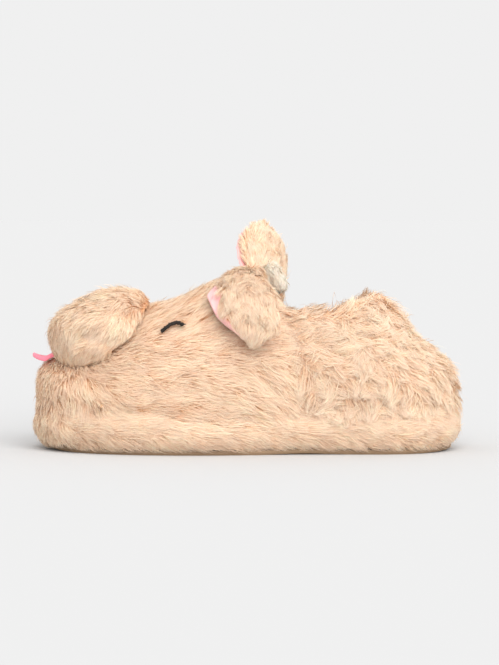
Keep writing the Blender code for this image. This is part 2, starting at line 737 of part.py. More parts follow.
def muzzle_body(name, grow=0.0, look=None):
    """The whole muzzle as a closed body, before it is cut to sit on the toe."""
    around, levels = 22, 12
    verts = [muzzle_point(0, 0, grow)]
    for j in range(1, levels):
        for i in range(around):
            verts.append(muzzle_point(2 * math.pi * (i + 0.5) / around, math.pi * j / levels, grow))
    verts.append(muzzle_point(0, math.pi, grow))
    last = len(verts) - 1
    faces = []
    for i in range(around):
        after = (i + 1) % around
        faces.append([0, 1 + i, 1 + after])
        faces.append([last, last - around + after, last - around + i])
        for j in range(levels - 2):
            low, high = 1 + j * around, 1 + (j + 1) * around
            faces.append([low + i, low + after, high + after, high + i])
    return new_object(name, verts, faces, look)


def make_muzzle():
    """The stuffed muzzle, seated on the toe and slotted for the tongue."""
    muzzle = muzzle_body("muzzle", look=FUR)
    combine(muzzle, outer_dome("toe_seat", GAP), "DIFFERENCE")
    combine(muzzle, tongue_body("tongue_slot", GAP), "DIFFERENCE")
    draw = random.Random(LOCK_SEED)
    roots = []
    for ring in MUZZLE_RINGS:
        for i in range(ring.count):
            turn = 2 * math.pi * (i + draw.uniform(0, LOCK_SWING)) / ring.count
            roots.append(muzzle_point(turn, math.pi * ring.level))
    return fuse_locks(muzzle, roots, muzzle_heading, muzzle_clear, MUZZLE_LOCK)


def muzzle_clear(point):
    """Whether a lock of the muzzle may reach this place: off the toe and off the tongue."""
    front = point.x < muzzle_centre().x and abs(point.y) < TONGUE_HALF_WIDTH + CLEARANCE
    low = point.z < muzzle_centre().z
    return point.z > surface_height(point.x, point.y) + CLEARANCE and not (front and low)


def tongue_body(name, grow=0.0, look=None):
    """The felt strip that lies on the toe under the muzzle and curls up at its tip."""
    steps = 12
    verts, faces = [], []
    toe_x = -SLIPPER_LENGTH / 2 - TONGUE_REACH
    for i in range(steps + 1):
        share = i / steps
        x = toe_x + TONGUE_LENGTH * share
        free = max(0, 1 - share / TONGUE_FREE) ** 2
        rest = surface_height(max(x, toe_x + TONGUE_LENGTH * TONGUE_FREE), 0) + 2 * GAP + TONGUE_CURL * free
        half = TONGUE_HALF_WIDTH * between(1, TONGUE_TIP, free) + grow
        x += {0: -grow, steps: grow}.get(i, 0)
        low, high = rest - grow, rest + TONGUE_THICKNESS + grow
        verts += [(x, -half, low), (x, half, low), (x, half, high), (x, -half, high)]
    for i in range(steps):
        for k in range(4):
            after = (k + 1) % 4
            faces.append([4 * i + k, 4 * i + after, 4 * i + 4 + after, 4 * i + 4 + k])
    faces += [[0, 1, 2, 3], [4 * steps + k for k in (3, 2, 1, 0)]]
    return new_object(name, verts, faces, look)


def make_tongue():
    """The pink tongue, clear of the toe under it."""
    return combine(tongue_body("tongue", look=TONGUE_PINK), outer_dome("tongue_seat", GAP), "DIFFERENCE")


def ear_root(ear):
    """Where an ear's middle line meets the head."""
    x = place_at(OPENING_FRONT_AT) + ear.behind
    _, middle, half = outline(share_at(x), UPPER_INSET, UPPER_INSET, UPPER_INSET)
    y = middle + half * ear.across
    return Vector((x, y, surface_height(x, y)))


def compass(degrees):
    """A level direction, from -X towards -Y."""
    angle = math.radians(degrees)
    return Vector((-math.cos(angle), -math.sin(angle), 0))


def ear_frame(ear, along):
    """Middle, direction to the front edge and fur side's normal of an ear at a share of its length."""
    lean, up = compass(ear.lean), Vector((0, 0, 1))
    start, end = math.radians(ear.rise_root), math.radians(ear.rise_tip)
    now = start + (end - start) * max(along, 0)
    if along < 0:
        run, climb = along * EAR_LENGTH * math.cos(start), along * EAR_LENGTH * math.sin(start)
    else:
        run = (math.sin(now) - math.sin(start)) / (end - start) * EAR_LENGTH
        climb = (math.cos(start) - math.cos(now)) / (end - start) * EAR_LENGTH
    axis = lean * math.cos(now) + up * math.sin(now)
    front = compass(ear.front)
    front = (front - axis * front.dot(axis)).normalized()
    return ear_root(ear) + lean * run + up * climb, front, front.cross(axis) * ear.hand


def ear_half(along):
    """Half the ear's width: a neck, a full middle and a round tip."""
    if along < EAR_WIDEST:
        return EAR_HALF_WIDTH * between(1, EAR_NECK, (1 - along / EAR_WIDEST) ** EAR_NECK_CURVE)
    beyond = (along - EAR_WIDEST) / (1 - EAR_WIDEST + EAR_BLUNTING)
    return EAR_HALF_WIDTH * math.sqrt(1 - beyond**EAR_TIP_CURVE)


def ear_point(ear, across, along, lift, margin=0.0):
    """A point of an ear's leaf: across from -1 to 1, lifted off its middle sheet."""
    middle, front, normal = ear_frame(ear, along)
    reach = ear_half(along) * across + margin * max(across, 0)
    bend = EAR_CUP * (reach / EAR_HALF_WIDTH) ** 2
    return middle + front * reach + normal * (lift - bend)


def ear_leaf(name, ear, low, high, margin, look):
    """A closed leaf between two lifts off the ear's middle sheet."""
    wide, long = 6, 8
    start = -EAR_SEAT_DEPTH / EAR_LENGTH
    grid = []
    for lift in (low, high):
        for j in range(long + 1):
            along = between(start, 1, j / long)
            tip = max(0, along - EAR_NECK) / (1 - EAR_NECK)
            for i in range(wide + 1):
                across = 2 * i / wide - 1
                grid.append(ear_point(ear, across, along, lift(max(abs(across), tip) ** 4), margin))
    size = (wide + 1) * (long + 1)
    faces = []
    for j in range(long):
        for i in range(wide):
            a = j * (wide + 1) + i
            quad = [a, a + 1, a + wide + 2, a + wide + 1]
            faces.append(quad)
            faces.append([size + k for k in reversed(quad)])
    rim = list(range(wide + 1))
    rim += [j * (wide + 1) + wide for j in range(1, long + 1)]
    rim += [long * (wide + 1) + i for i in reversed(range(wide))]
    rim += [j * (wide + 1) for j in reversed(range(1, long))]
    for a, b in zip(rim, rim[1:] + rim[:1]):
        faces.append([a, b, size + b, size + a])
    return new_object(name, grid, faces, look)


def make_ear(ear):
    """One ear: a leaf of fur and, under it, a pink lining that shows past its front edge."""
    def fur_top(edge):
        return GAP + between(EAR_FUR_THICKNESS, EAR_EDGE_THICKNESS, edge)

    def lining_underside(edge):
        return -EAR_LINING_THICKNESS

    fur = ear_leaf("ear_" + ear.name, ear, lambda edge: GAP, fur_top, 0, FUR)
    name = "ear_lining_" + ear.name
    lining = ear_leaf(name, ear, lining_underside, lambda edge: 0, EAR_LINING_MARGIN, PINK)
    for leaf in (fur, lining):
        combine(leaf, outer_dome("ear_seat", GAP), "DIFFERENCE")
        combine(leaf, cuff_body("ear_notch", GAP), "DIFFERENCE")
    places = [(across, along) for along in EAR_LOCKS_ALONG for across in EAR_LOCKS_ACROSS]
    roots = [ear_point(ear, across, along, EAR_FUR_THICKNESS) for across, along in places]
    tip = ear_frame(ear, 1)[0]
    fuse_locks(fur, roots, lambda point: (tip - point).normalized(), lambda point: True, EAR_LOCK)


def main():
    """Builds the slipper from the floor up."""
    for obj in list(bpy.data.objects):
        bpy.data.objects.remove(obj)
    make_outsole()
    make_platform()
    make_insole()
    make_upper()
    cuff_body("throat_cuff", look=CREAM)
    make_tongue()
    make_muzzle()
    for ear in EARS:
        make_ear(ear)
    for obj in bpy.data.objects:
        obj.data.shade_smooth()
        obj.data.set_sharp_from_angle(angle=math.radians(SHARP_DEG))


main()
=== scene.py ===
import math

import bpy
import numpy as np
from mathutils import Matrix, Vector
from mathutils.bvhtree import BVHTree
from mathutils.kdtree import KDTree


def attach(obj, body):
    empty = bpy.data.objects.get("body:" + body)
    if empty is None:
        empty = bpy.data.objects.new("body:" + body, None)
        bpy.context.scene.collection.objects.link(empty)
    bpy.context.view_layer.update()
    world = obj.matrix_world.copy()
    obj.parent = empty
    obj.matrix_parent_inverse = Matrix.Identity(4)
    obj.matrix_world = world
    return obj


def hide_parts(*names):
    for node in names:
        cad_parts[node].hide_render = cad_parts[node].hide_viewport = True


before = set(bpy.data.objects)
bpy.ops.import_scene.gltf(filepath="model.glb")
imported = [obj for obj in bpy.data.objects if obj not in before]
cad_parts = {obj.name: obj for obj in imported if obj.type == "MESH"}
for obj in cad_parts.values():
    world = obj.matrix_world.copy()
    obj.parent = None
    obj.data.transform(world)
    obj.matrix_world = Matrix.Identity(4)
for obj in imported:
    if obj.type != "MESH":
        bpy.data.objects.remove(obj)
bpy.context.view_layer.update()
scene = bpy.context.scene
TAU = 2 * math.pi


# Small tools

def colour(r, g, b):
    """An sRGB colour as linear light."""
    c = np.array((r, g, b), float) / 255
    return np.where(c <= 0.04045, c / 12.92, ((c + 0.055) / 1.055) ** 2.4)


def smooth(low, high, value):
    t = np.clip((np.asarray(value, float) - low) / (high - low), 0, 1)
    return t * t * (3 - 2 * t)


def unit(v):
    return v / np.maximum(np.linalg.norm(v, axis=-1, keepdims=True), 1e-12)


def vectors(*parts):
    return np.stack(np.broadcast_arrays(*[np.asarray(p, float) for p in parts]), -1)


def waves(p, size, seed, count=7):
    """Smooth noise from -1 to 1 with swells of this size."""
    draw = np.random.default_rng(seed)
    way = unit(draw.normal(size=(count, 3))) * TAU / size * draw.uniform(0.6, 1.6, (count, 1))
    return np.clip(np.sin(p @ way.T + draw.uniform(0, TAU, count)).sum(1) / math.sqrt(count) / 1.2, -1, 1)


def link(obj):
    scene.collection.objects.link(obj)
    return obj


def arrays(mesh):
    """A mesh's vertices and triangles."""
    mesh.calc_loop_triangles()
    co = np.empty(len(mesh.vertices) * 3)
    mesh.vertices.foreach_get("co", co)
    tri = np.empty(len(mesh.loop_triangles) * 3, np.int32)
    mesh.loop_triangles.foreach_get("vertices", tri)
    return co.reshape(-1, 3), tri.reshape(-1, 3)


def vertex_normals(co, tri):
    n = np.cross(co[tri[:, 1]] - co[tri[:, 0]], co[tri[:, 2]] - co[tri[:, 0]])
    out = np.zeros_like(co)
    for k in range(3):
        np.add.at(out, tri[:, k], n)
    return unit(out)


def tree_of(co, tri):
    return BVHTree.FromPolygons(co.tolist(), tri.tolist())


def cad(*nodes):
    """The vertices and triangles of CAD nodes as one mesh."""
    co, tri, start = [], [], 0
    for node in nodes:
        c, t = arrays(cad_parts[node].data)
        co.append(c)
        tri.append(t + start)
        start += len(c)
    return np.concatenate(co), np.concatenate(tri)


def nearest(tree, points):
    """Nearest places on a surface, their normals and how far they are."""
    place, normal, far = np.empty_like(points), np.empty_like(points), np.empty(len(points))
    for i, p in enumerate(points.tolist()):
        place[i], normal[i], _, far[i] = tree.find_nearest(p)
    return place, normal, far


def piece(obj, replaces=None):
    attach(obj, "root")
    if replaces:
        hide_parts(replaces)
    return obj


# Materials

def material(name, tint, rough=0.8, specular=0.2, sheen=0.0, mottle=0.0, grain=0.0, size=900.0):
    """A plain finish with a fine mottle in its colour and a fine grain as bump."""
    mat = bpy.data.materials.new(name)
    mat.use_nodes = True
    tree = mat.node_tree
    shader = tree.nodes["Principled BSDF"]
    shader.inputs["Base Color"].default_value = (*tint, 1)
    shader.inputs["Roughness"].default_value = rough
    shader.inputs["Specular IOR Level"].default_value = specular
    shader.inputs["Sheen Weight"].default_value = sheen
    shader.inputs["Sheen Roughness"].default_value = 0.5
    if mottle or grain:
        place = tree.nodes.new("ShaderNodeTexCoord")
        noise = tree.nodes.new("ShaderNodeTexNoise")
        noise.inputs["Scale"].default_value = size
        noise.inputs["Detail"].default_value = 3
        tree.links.new(place.outputs["Object"], noise.inputs["Vector"])
    if mottle:
        ramp = tree.nodes.new("ShaderNodeValToRGB")
        ramp.color_ramp.elements[0].position = 0.3
        ramp.color_ramp.elements[1].position = 0.7
        ramp.color_ramp.elements[0].color = (*(np.array(tint) * (1 - mottle)), 1)
        ramp.color_ramp.elements[1].color = (*np.minimum(np.array(tint) * (1 + mottle), 1), 1)
        tree.links.new(noise.outputs["Fac"], ramp.inputs["Fac"])
        tree.links.new(ramp.outputs["Color"], shader.inputs["Base Color"])
    if grain:
        bump = tree.nodes.new("ShaderNodeBump")
        bump.inputs["Strength"].default_value = 0.6
        bump.inputs["Distance"].default_value = grain
        tree.links.new(noise.outputs["Fac"], bump.inputs["Height"])
        tree.links.new(bump.outputs["Normal"], shader.inputs["Normal"])
    return mat


def hair_material(name, through=0.25, rough=0.55):
    """Hair that takes its colour from the strand and lets some light through."""
    mat = bpy.data.materials.new(name)
    mat.use_nodes = True
    tree = mat.node_tree
    shader = tree.nodes["Principled BSDF"]
    shader.inputs["Roughness"].default_value = rough
    shader.inputs["Specular IOR Level"].default_value = 0.12
    strand = tree.nodes.new("ShaderNodeAttribute")
    strand.attribute_name = "strand"
    tree.links.new(strand.outputs["Color"], shader.inputs["Base Color"])
    glow = tree.nodes.new("ShaderNodeBsdfTranslucent")
    tree.links.new(strand.outputs["Color"], glow.inputs["Color"])
    mix = tree.nodes.new("ShaderNodeMixShader")
    mix.inputs["Fac"].default_value = through
    out = tree.nodes["Material Output"]
    tree.links.new(shader.outputs["BSDF"], mix.inputs[1])
    tree.links.new(glow.outputs["BSDF"], mix.inputs[2])
    tree.links.new(mix.outputs["Shader"], out.inputs["Surface"])
    return mat


# Skins under the fur

class Ground:
    """A closed surface to grow hair on: vertices, triangles, normals and a search tree."""

    def __init__(self, nodes, voxel, rounds):
        co, tri = cad(*nodes)
        mesh = bpy.data.meshes.new("ground")
        mesh.from_pydata(co.tolist(), [], tri.tolist())
        obj = link(bpy.data.objects.new("ground", mesh))
        remesh = obj.modifiers.new("remesh", "REMESH")
        remesh.mode = "VOXEL"
        remesh.voxel_size = voxel
        even = obj.modifiers.new("even", "SMOOTH")
        even.factor = 0.5
        even.iterations = rounds
        self.mesh = bpy.data.meshes.new_from_object(obj.evaluated_get(bpy.context.evaluated_depsgraph_get()))
        bpy.data.objects.remove(obj)
        self.update(*arrays(self.mesh))

    def update(self, co, tri=None):
        self.co = co
        self.tri = self.tri if tri is None else tri
        self.normal = vertex_normals(self.co, self.tri)
        self.tree = tree_of(self.co, self.tri)

    def spread(self, values, rounds):
        """Evens out values over the surface."""
        edges = np.empty(len(self.mesh.edges) * 2, np.int32)
        self.mesh.edges.foreach_get("vertices", edges)
        a, b = edges.reshape(-1, 2).T
        count = np.bincount(a, minlength=len(values)) + np.bincount(b, minlength=len(values))
        for _ in range(rounds):
            total = np.bincount(a, values[b], len(values)) + np.bincount(b, values[a], len(values))
            values = (values + total / np.maximum(count, 1)) / 2
        return values

    def open_air(self, *others):
        """1 where a point faces away from the slipper, and 0 where it faces its inside."""
        co, tri = self.co, self.tri
        if others:
            c, t = cad(*others)
            co, tri = np.concatenate([co, c]), np.concatenate([tri, t + len(co)])
        tree = tree_of(co, tri)
        tilts = unit(np.random.default_rng(3).normal(size=(5, 3))) * 0.4
        free = np.zeros(len(self.co))
        for i, (p, n) in enumerate(zip(self.co, self.normal)):
            start = Vector(p + n * 0.001)
            free[i] = sum(tree.ray_cast(start, Vector(n + t), 0.25)[0] is None for t in tilts)
        return self.spread((free >= 3).astype(float), 3)

    def sink(self, depth):
        self.update(self.co - self.normal * depth[:, None])

    def object(self, name, *materials, second=None):
        mesh = self.mesh
        mesh.name = name
        mesh.vertices.foreach_set("co", self.co.ravel())
        mesh.materials.clear()
        for mat in materials:
            mesh.materials.append(mat)
        if second is not None:
            index = [int(second[list(f.vertices)].mean() > 0.5) for f in mesh.polygons]
            mesh.polygons.foreach_set("material_index", index)
        mesh.shade_smooth()
        mesh.update()
        return link(bpy.data.objects.new(name, mesh))


# Hair

def scatter(ground, weight, count, draw):
    a, b, c = (ground.co[ground.tri[:, k]] for k in range(3))
    share = np.linalg.norm(np.cross(b - a, c - a), axis=1) * weight[ground.tri].mean(1)
    pick = draw.choice(len(share), count, p=share / share.sum())
    u, v = draw.random((2, count))
    u, v = np.where(u + v > 1, 1 - u, u), np.where(u + v > 1, 1 - v, v)
    bary = vectors(1 - u - v, u, v)[..., None]
    corners = ground.tri[pick]
    return (ground.co[corners] * bary).sum(1), unit((ground.normal[corners] * bary).sum(1))


def laid(way, normal, turn):
    """A heading laid on the surface and turned in it."""
    along = way - normal * (way * normal).sum(-1, keepdims=True)
    along = unit(along + normal * 1e-9)
    side = np.cross(normal, along)
    return along * np.cos(turn)[:, None] + side * np.sin(turn)[:, None]


def paths(tree, root, normal, heading, turn, length, height, steps, hold):
    """Strand centre lines that follow a surface at a growing height, as (step, strand, 3)."""
    place, lie, track = root.copy(), normal.copy(), [root.copy()]
    lies = [normal.copy()]
    way = laid(heading(root), lie, turn)
    for j in range(1, steps + 1):
        share = j / steps
        free = place + way * (length / steps)[:, None]
        on, up, _ = nearest(tree, free)
        lie = unit(up + lie)
        rise = height * (1 - (1 - share) ** 2)
        target = on + lie * rise[:, None]
        loose = free + lie * (rise - height * (1 - (1 - share + 1 / steps) ** 2))[:, None]
        place = target * hold + loose * (1 - hold)
        way = laid(way * 0.65 + laid(heading(place), lie, turn) * 0.35, lie, np.zeros(len(place)))
        track.append(place.copy())
        lies.append(lie.copy())
    return np.stack(track), np.stack(lies)


def hair(name, mat, ground, weight, count, heading, length, height, tint, follow=None, steps=3, spacing=0.006,
         clump=0.45, messy=0.25, lock_messy=0.3, swell=0.3, curl=0.0, width=0.00055, wild=0.03, hold=0.85,
         lean=0.7, seed=1, floor=0.0009, rise=(0.75, 1.1)):
    """A joined mesh of tapered strands, gathered into locks and laid along a heading."""
    draw = np.random.default_rng(seed)
    root, normal = scatter(ground, weight, count, draw)
    a, b, c = (ground.co[ground.tri[:, k]] for k in range(3))
    area = (np.linalg.norm(np.cross(b - a, c - a), axis=1) / 2 * weight[ground.tri].mean(1)).sum()
    locks = min(count // 2, max(8, int(area / spacing**2)))
    lock_root, lock_normal = scatter(ground, weight, locks, draw)
    finder = KDTree(locks)
    for i, p in enumerate(lock_root.tolist()):
        finder.insert(p, i)
    finder.balance()
    stray = root + draw.normal(scale=spacing * 0.22, size=root.shape)
    lock = np.array([finder.find(p)[1] for p in stray.tolist()])

    follow = follow or ground.tree
    lock_turn = draw.normal(scale=lock_messy, size=locks) + swell * 1.5 * waves(lock_root, 0.035, seed + 5)
    lock_size = draw.uniform(0.8, 1.2, locks)
    lock_rise = draw.uniform(*rise, locks)
    line, _ = paths(follow, lock_root, lock_normal, heading, lock_turn, length(lock_root) * lock_size,
                    height(lock_root) * lock_rise, steps, hold)

    turn = draw.normal(scale=messy, size=count) + lock_turn[lock]
    long = length(root) * lock_size[lock] * draw.uniform(0.65, 1.1, count)
    level = draw.uniform(0.25, 1.0, count) ** 0.8
    high = height(root) * level * lock_rise[lock]
    flyaway = draw.random(count) < wild
    high = np.where(flyaway, height(root) * draw.uniform(1.1, 1.7, count), high)
    track, lies = paths(follow, root, normal, heading, turn, long, high, steps, hold)

    share = np.linspace(0, 1, steps + 1)
    gather = clump * share**1.3
    pull = np.where(flyaway, 0.1, draw.uniform(0.5, 1.2, count))
    for j in range(1, steps + 1):
        toward = line[j][lock] - track[j]
        track[j] += toward * (gather[j] * pull)[:, None]
    along = unit(np.gradient(track, axis=0))
    side = unit(np.cross(lies, along))
    if curl:
        phase = draw.uniform(0, TAU, locks)[lock] + draw.normal(scale=0.5, size=count)
        bends = draw.uniform(0.6, 1.3, locks)[lock]
        for j in range(1, steps + 1):
            angle = phase + TAU * bends * share[j]
            size = curl * share[j] * long
            track[j] += side[j] * (np.sin(angle) * size)[:, None]
            track[j] += lies[j] * (np.cos(angle) * size * 0.35)[:, None]
        along = unit(np.gradient(track, axis=0))
        side = unit(np.cross(lies, along))
    track[..., 2] = np.maximum(track[..., 2], floor)

    twist = draw.uniform(-0.8, 0.8, count)
    flat = side * np.cos(twist)[:, None] + np.cross(along, side) * np.sin(twist)[:, None]
    wide = width * draw.uniform(0.7, 1.3, count)
    rows = []
    for j in range(steps):
        half = flat[j] * (wide * (1 - 0.78 * share[j]) / 2)[:, None]
        rows += [track[j] - half, track[j] + half]
    rows.append(track[steps])
    verts = np.stack(rows, 1)
    per = 2 * steps + 1
    shape = [(2 * j + 1, 2 * j, 2 * j + 2, 2 * j + 3) for j in range(steps - 1)]
    tip = (2 * steps - 1, 2 * steps - 2, 2 * steps)
    loop = np.array([i for f in [*shape, tip] for i in f])
    sizes = np.array([4] * (steps - 1) + [3])
    starts = np.concatenate([[0], np.cumsum(sizes)[:-1]])
    base = np.arange(count)[:, None]
    index = (loop[None] + base * per).ravel()
    start = (starts[None] + base * len(loop)).ravel()

    mesh = bpy.data.meshes.new(name)
    mesh.vertices.add(count * per)
    mesh.loops.add(len(index))
    mesh.polygons.add(len(start))
    mesh.vertices.foreach_set("co", verts.ravel())
    mesh.loops.foreach_set("vertex_index", index.astype(np.int32))
    mesh.polygons.foreach_set("loop_start", start.astype(np.int32))
    mesh.update(calc_edges=True)
    mesh.materials.append(mat)
    mesh.shade_smooth()

    steps_of = np.array([j // 2 for j in range(2 * steps)] + [steps])
    tone = 1 + 0.09 * draw.normal(size=count) + 0.03 * draw.normal(size=locks)[lock]
    shades = tint(root, share[steps_of], level, tone)
    rgba = np.ones((count, per, 4))
    rgba[..., :3] = np.clip(shades, 0.01, 0.98)
    layer = mesh.attributes.new("strand", "FLOAT_COLOR", "POINT")
    layer.data.foreach_set("color", rgba.ravel())

    sign = np.tile([-1.0, 1.0], steps).tolist() + [0.0]
    tilt = np.array(sign)[None, :, None] * flat[steps_of].transpose(1, 0, 2) * 0.5
    up = lies[steps_of].transpose(1, 0, 2)
    facing = np.cross(flat[steps_of], along[steps_of]).transpose(1, 0, 2)
    facing *= np.sign((facing * up).sum(-1, keepdims=True) + 1e-9)
    shown = unit(up * lean + facing * (1 - lean) + tilt)
    mesh.normals_split_custom_set_from_vertices(shown.reshape(-1, 3).tolist())
    return link(bpy.data.objects.new(name, mesh))


def coat(root_tint, middle_tint, tip_tint, warm=None, warm_at=None):
    """Strand colours from root to tip, warmer where warm_at says. The darker roots are partly the fur's own colour and
    partly painted shade deep in the pile.
    """
    stops = [np.asarray(c, float) for c in (root_tint, middle_tint, tip_tint)]

    def tint(root, share, level, tone):
        deep = stops[0][None, :].repeat(len(root), 0)
        if warm is not None:
            amount = warm_at(root)[:, None]
            deep = deep * (1 - amount) + np.asarray(warm) * amount
        t = share[None, :, None]
        # Strands that stand lower keep less of the pale tip colour: partly painted shade deep in the pile.
        first, last = smooth(0, 0.5, t), smooth(0.4, 1.0, t) * (0.35 + 0.65 * level[:, None, None])
        shade = deep[:, None, :] * (1 - first) + stops[1] * first
        shade = shade * (1 - last) + stops[2] * last
        return shade * tone[:, None, None]

    return tint


# Regions of the slipper, in metres

SEAM_FOOT_X, SEAM_TOP_X = 0.036, 0.022
BAND_SEAM_X = 0.0075
EYE = ((-0.0540, 0.0752), (-0.0511, 0.0775), (-0.0482, 0.0797),
       (-0.0450, 0.0806), (-0.0424, 0.0803), (-0.0398, 0.0791))


def band_top(p):
    """Height of the line where the upper's fur ends over the band: low at the waist and high at the heel."""
    line_x = np.array((-0.135, -0.100, -0.066, -0.022, 0.008, 0.036, 0.060, 0.100, 0.124, 0.138))
    line_z = np.array((0.0285, 0.0275, 0.0270, 0.0222, 0.0215, 0.0255, 0.0270, 0.0300, 0.0325, 0.0330))
    return np.interp(p[:, 0], line_x, line_z)


def quarter_seam_x(p):
    return SEAM_FOOT_X + (SEAM_TOP_X - SEAM_FOOT_X) * np.clip((p[:, 2] - 0.026) / 0.055, 0, 1)


def behind_seam(p):
    return smooth(-0.001, 0.001, p[:, 0] - quarter_seam_x(p))


def part_at(distance, width):
    """A soft gap in the coat: 0 in its middle and 1 beyond its width."""
    return smooth(0, width, np.abs(distance))


def crease_distance(p, line):
    """How far points are from a line given as x and z, seen from the side."""
    far = np.full(len(p), 1.0)
    line = np.array(line)
    for (xa, za), (xb, zb) in zip(line, line[1:]):
        d = np.array((xb - xa, zb - za))
        t = np.clip(((p[:, 0] - xa) * d[0] + (p[:, 2] - za) * d[1]) / (d @ d), 0, 1)
        far = np.minimum(far, np.hypot(p[:, 0] - xa - t * d[0], p[:, 2] - za - t * d[1]))
    return far


def eye_gap(p):
    return crease_distance(p, EYE)


# Stage and camera

def make_stage():
    """Floor, soft light all around, one broad key light and the camera."""
    mesh = bpy.data.meshes.new("floor")
    mesh.from_pydata([(-20, -20, 0), (20, -20, 0), (20, 20, 0), (-20, 20, 0)], [], [(0, 1, 2, 3)])
    floor = link(bpy.data.objects.new("floor", mesh))
    paper = bpy.data.materials.new("floor_paper")
    paper.use_nodes = True
    shader = paper.node_tree.nodes["Principled BSDF"]
    shader.inputs["Base Color"].default_value = (0.607, 0.607, 0.607, 1)
    shader.inputs["Roughness"].default_value = 1.0
    shader.inputs["Specular IOR Level"].default_value = 0.0
    mesh.materials.append(paper)

    world = bpy.data.worlds.new("studio")
    world.use_nodes = True
    world.node_tree.nodes["Background"].inputs["Color"].default_value = (0.871, 0.871, 0.871, 1)
    world.node_tree.nodes["Background"].inputs["Strength"].default_value = 1.0
    scene.world = world

    sun = bpy.data.lights.new("key", "SUN")
    sun.energy = 3.05
    sun.angle = math.radians(60)
    key = link(bpy.data.objects.new("key", sun))
    key.rotation_euler = Vector((0.35, -1.05, 0.8)).to_track_quat("Z", "Y").to_euler()

    lens = bpy.data.cameras.new("camera")
    lens.lens = 134.2
    lens.clip_end = 100
    camera = link(bpy.data.objects.new("camera", lens))
    aim = Vector((0.001, 0, 0.0749))
    direction = Vector((0, -math.cos(math.radians(3)), math.sin(math.radians(3))))
    camera.location = aim + direction * 1.6
    camera.rotation_euler = direction.to_track_quat("Z", "Y").to_euler()
    scene.camera = camera
    scene.view_settings.view_transform = "Standard"


make_stage()

FUR = hair_material("long_fur")
FLEECE = hair_material("cream_fleece", 0.3, 0.8)
BACKING = material("fur_backing", colour(214, 166, 124), 0.9, 0.1, 0.1, 0.12, 0.0008)
CREAM = material("cream_backing", colour(252, 232, 210), 0.9, 0.1, 0.1, 0.06, 0.0008)
VELOUR = material("pink_velour", colour(252, 190, 188), 0.85, 0.1, 0.35, 0.05, 0.0003, 1500)
FELT = material("pink_felt", colour(252, 140, 158), 0.9, 0.1, 0.25, 0.08, 0.0003, 1800)
THREAD = material("black_thread", colour(30, 24, 18), 0.5, 0.3, 0.0, 0.2, 0.0001, 3000)
GREY_THREAD = material("grey_thread", colour(150, 128, 118), 0.6, 0.3, 0.0, 0.2, 0.0001, 3000)
SOLE = material("speckled_rubber", colour(150, 124, 98), 0.75, 0.3, 0.0, 0.10, 0.0002, 1200)

# Root, middle and tip colours of the fur. The darker root colour is partly the fur's own and partly painted shade deep
# in the pile.
DEEP, MIDDLE, TIP = colour(240, 191, 147), colour(252, 221, 191), colour(255, 235, 216)
# Orange-brown for the fur's own warm patches, and for painted shade in seams, grooves, creases and under the ear.
WARM = colour(220, 152, 96)

# Upper and platform

body = Ground(("upper", "midsole", "outsole"), 0.003, 14)
body_air = body.open_air("insole")
quarter = behind_seam(body.co)
below = band_top(body.co) - body.co[:, 2]
is_band = (below > 0).astype(float)
toe_end = smooth(-0.095, -0.125, body.co[:, 0])
shoulder = smooth(0.092, 0.112, body.co[:, 0]) * smooth(0.045, 0.060, body.co[:, 2])
collar = smooth(0.024, 0.036, body.co[:, 0]) * smooth(0.092, 0.078, body.co[:, 0])
collar *= smooth(0.074, 0.088, body.co[:, 2])
depth = 0.0034 + quarter * (1 - is_band) * (0.0016 + 0.0008 * shoulder - 0.0034 * collar) - 0.0006 * is_band
depth -= 0.0022 * toe_end
groove = np.exp(-((below / 0.0026) ** 2)) * 0.0020 * (1 - 0.8 * toe_end)
seam = np.exp(-(((body.co[:, 0] - quarter_seam_x(body.co)) / 0.0035) ** 2)) * (1 - is_band) * 0.0028
joint = np.exp(-(((body.co[:, 0] - BAND_SEAM_X) / 0.0022) ** 2)) * is_band * 0.0015
body.sink(body.spread((depth + groove + seam + joint) * body_air, 1))

muzzle_tree = tree_of(*cad("muzzle"))
ears_tree = tree_of(*cad("ear_outer", "ear_inner", "ear_lining_outer", "ear_lining_inner"))
under_muzzle = nearest(muzzle_tree, body.co)[2]
under_ears = nearest(ears_tree, body.co)[2]
grows = smooth(0.55, 0.9, body_air) * smooth(0.0005, 0.003, under_muzzle) * smooth(0.0, 0.002, under_ears)
grows *= 1 - smooth(0.010, 0.006, body.co[:, 2]) * smooth(-0.3, -0.6, body.normal[:, 2])
grows *= 1 - (body.co[:, 2] < 0.0045)


def head_way(p):
    x, y, z = p.T
    toe = 0.85 * smooth(-0.066, -0.122, x)
    low = smooth(0.075, 0.045, z)
    rear = smooth(-0.030, 0.035, x) * low
    up = smooth(0.055, 0.080, z) * smooth(-0.075, -0.055, x) * (1 - smooth(0.0, 0.03, x))
    fall = -0.12 + 0.55 * up - 0.85 * rear
    run = 1 - 0.85 * toe
    return vectors(run, 0, fall * (1 - toe) - 0.9 * toe)


def quarter_way(p):
    x, y, z = p.T
    low = smooth(0.060, 0.036, z)
    back = smooth(0.09, 0.125, x)
    return vectors(0.95 - 0.75 * low, 0.25 * y / 0.05 * (1 - back), -0.35 - 0.75 * low - 0.3 * back)


def band_way(p):
    x, y, z = p.T
    toe, heel = smooth(-0.105, -0.128, x), smooth(0.1, 0.13, x)
    fall = -0.14 - 0.9 * smooth(0.015, 0.006, z) - 0.8 * toe
    return vectors(1 - 0.8 * toe, -0.3 * y / 0.055 * heel, fall)


def head_length(p):
    return 0.0135 - 0.004 * smooth(-0.095, -0.125, p[:, 0]) - 0.003 * smooth(0.010, 0.004, eye_gap(p))


def head_height(p):
    high = 0.0046 - 0.0010 * smooth(-0.10, -0.13, p[:, 0])
    seam = part_at(p[:, 0] - quarter_seam_x(p), 0.005)
    return high * (0.35 + 0.65 * seam) * (0.4 + 0.6 * smooth(0.001, 0.007, eye_gap(p)))


def quarter_length(p):
    return 0.0150 + 0.002 * waves(p, 0.03, 11)


